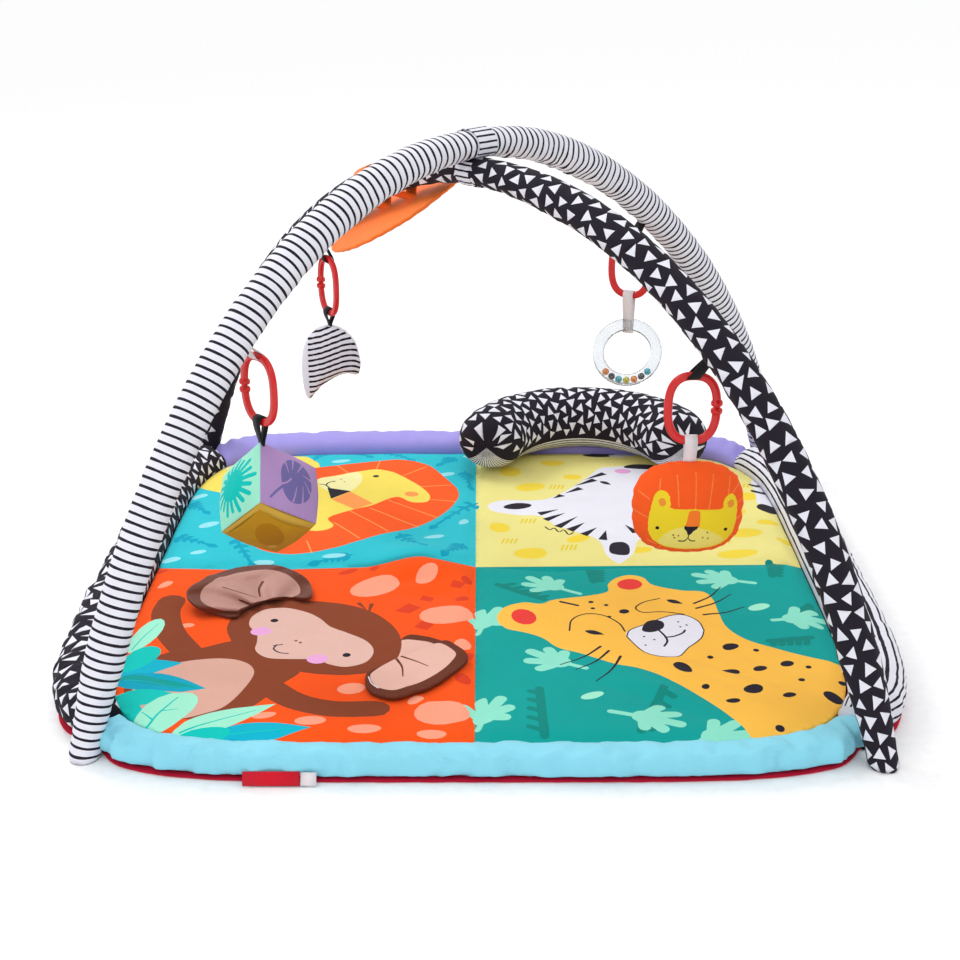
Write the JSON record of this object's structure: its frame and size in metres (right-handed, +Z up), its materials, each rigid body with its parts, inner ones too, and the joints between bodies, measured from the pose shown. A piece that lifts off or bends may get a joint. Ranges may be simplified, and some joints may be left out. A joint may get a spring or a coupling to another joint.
{
  "type": "activity play gym",
  "caption": "Padded square baby mat with crossed fabric-covered arches, hanging soft toys and a mirror on snap links, a crescent pillow and lifting ear flaps.",
  "frame": {"origin": "on the floor under the middle of the mat", "axes": "+Z up, +X to the right seen from the front, +Y to the back; the lilac border and the pillow are at the back"},
  "size_m": [0.864, 0.864, 0.5237],
  "materials": {
    "backing_fabric": "matte red woven",
    "wadding": "soft white fill",
    "panel_fabric": "printed woven polyester in four colours",
    "blue_satin": "light blue satin",
    "lilac_satin": "lilac satin",
    "triangle_fabric": "black with small white triangles",
    "stripe_fabric": "white with thin black stripes",
    "webbing": "black woven",
    "label_red": "red satin label",
    "white_ribbon": "white grosgrain",
    "black_ribbon": "black grosgrain",
    "foam": "dark foam",
    "fibreglass": "glass fibre rod",
    "black_plastic": "matte",
    "red_plastic": "glossy",
    "lion_orange": "soft plush",
    "cube_mint": "printed soft fabric",
    "clear_plastic": "clear",
    "bead_1": "glossy",
    "bead_2": "glossy",
    "bead_3": "glossy",
    "bead_4": "glossy",
    "orange_fabric": "orange woven",
    "mirror_film": "silvered film",
    "ear_satin": "brown satin"
  },
  "bodies": {
    "mat": {"mat_backing": "backing_fabric", "mat_filling": "wadding", "mat_panel": "panel_fabric", "border_front": "blue_satin", "border_back": "lilac_satin", "border_left": "triangle_fabric", "border_right": "stripe_fabric", "corner_tab_front_left": "webbing", "corner_tab_front_right": "webbing", "corner_tab_back_left": "webbing", "corner_tab_back_right": "webbing", "side_label": "label_red", "care_label": "white_ribbon"},
    "striped_arch": {"striped_arch_sleeve": "stripe_fabric", "striped_arch_foam": "foam", "striped_arch_rod": "fibreglass", "striped_arch_cap_front": "black_plastic", "striped_arch_cap_back": "black_plastic", "crossing_strap_top": "stripe_fabric", "cube_loop": "white_ribbon", "ring_loop": "black_ribbon"},
    "triangle_arch": {"triangle_arch_sleeve": "triangle_fabric", "triangle_arch_foam": "foam", "triangle_arch_rod": "fibreglass", "triangle_arch_cap_front": "black_plastic", "triangle_arch_cap_back": "black_plastic", "crossing_strap_under": "stripe_fabric", "lion_loop": "black_ribbon", "leaf_loop": "black_ribbon"},
    "lion_link": {"lion_link": "red_plastic"},
    "lion_toy": {"lion_ribbon": "white_ribbon", "lion_head": "lion_orange"},
    "cube_link": {"cube_link": "red_plastic"},
    "cube_toy": {"cube_ribbon": "black_ribbon", "cube_body": "cube_mint"},
    "ring_link": {"ring_link": "red_plastic"},
    "ring_toy": {"ring_ribbon": "white_ribbon", "ring_shell_front": "clear_plastic", "ring_shell_back": "clear_plastic"},
    "leaf_link": {"leaf_link": "red_plastic"},
    "leaf_toy": {"leaf_ribbon": "black_ribbon", "leaf_body": "stripe_fabric"},
    "ring_beads": {"ring_bead_1": "bead_1", "ring_bead_2": "bead_2", "ring_bead_3": "bead_3", "ring_bead_4": "bead_4", "ring_bead_5": "bead_1", "ring_bead_6": "bead_2", "ring_bead_7": "bead_3"},
    "mirror": {"mirror_backing": "orange_fabric", "mirror_film": "mirror_film", "mirror_loop_low": "orange_fabric", "mirror_loop_high": "orange_fabric"},
    "pillow": {"tummy_pillow": "triangle_fabric"},
    "ear_flap_left": {"ear_flap_left": "ear_satin"},
    "ear_flap_right": {"ear_flap_right": "ear_satin"}
  },
  "joints": [
    {"name": "arches_lift", "type": "slide", "parent": "mat", "child": "striped_arch", "axis": [0, 0, 1], "range_m": [0, 0.25]},
    {"name": "arch_swivel", "type": "hinge", "parent": "striped_arch", "child": "triangle_arch", "pos_m": [-0.005, -0.003, 0.478], "axis": [0, 0, 1], "range_deg": [-10, 10]},
    {"name": "lion_link_swing", "type": "hinge", "parent": "triangle_arch", "child": "lion_link", "pos_m": [0.2035, -0.23, 0.3243], "axis": [1, 0, 0], "range_deg": [-30, 30]},
    {"name": "lion_toy_swing", "type": "hinge", "parent": "lion_link", "child": "lion_toy", "pos_m": [0.2035, -0.23, 0.2592], "axis": [1, 0, 0], "range_deg": [-30, 30]},
    {"name": "cube_link_swing", "type": "hinge", "parent": "striped_arch", "child": "cube_link", "pos_m": [-0.2125, -0.218, 0.3398], "axis": [0.6947, -0.7193, 0], "range_deg": [-15, 30]},
    {"name": "cube_toy_swing", "type": "hinge", "parent": "cube_link", "child": "cube_toy", "pos_m": [-0.2125, -0.218, 0.2747], "axis": [0.6947, -0.7193, 0], "range_deg": [-15, 30]},
    {"name": "ring_link_swing", "type": "hinge", "parent": "striped_arch", "child": "ring_link", "pos_m": [0.179, 0.184, 0.3598], "axis": [0.9063, -0.4226, 0], "range_deg": [-30, 30]},
    {"name": "ring_toy_swing", "type": "hinge", "parent": "ring_link", "child": "ring_toy", "pos_m": [0.179, 0.184, 0.2947], "axis": [0.9063, -0.4226, 0], "range_deg": [-30, 30]},
    {"name": "leaf_link_swing", "type": "hinge", "parent": "triangle_arch", "child": "leaf_link", "pos_m": [-0.181, 0.18, 0.3398], "axis": [0.4695, -0.8829, 0], "range_deg": [-30, 30]},
    {"name": "leaf_toy_swing", "type": "hinge", "parent": "leaf_link", "child": "leaf_toy", "pos_m": [-0.181, 0.18, 0.2747], "axis": [0.4695, -0.8829, 0], "range_deg": [-30, 30]},
    {"name": "ring_bead_roll", "type": "hinge", "parent": "ring_toy", "child": "ring_beads", "pos_m": [0.179, 0.184, 0.2228], "axis": [0, 1, 0], "range_deg": [-60, 60]},
    {"name": "mirror_flap", "type": "hinge", "parent": "triangle_arch", "child": "mirror", "pos_m": [-0.10678, 0.10404, 0.44741], "axis": [0.6404, -0.6746, 0.3671], "range_deg": [-10, 30]},
    {"name": "pillow_lift", "type": "slide", "parent": "mat", "child": "pillow", "axis": [0, 0, 1], "range_m": [0, 0.12]},
    {"name": "ear_flap_left_lift", "type": "hinge", "parent": "mat", "child": "ear_flap_left", "pos_m": [-0.2255, -0.1405, 0.024], "axis": [0.8387, 0.5446, 0], "range_deg": [0, 90]},
    {"name": "ear_flap_right_lift", "type": "hinge", "parent": "mat", "child": "ear_flap_right", "pos_m": [-0.094, -0.247, 0.024], "axis": [-0.7431, -0.6691, 0], "range_deg": [0, 90]}
  ]
}
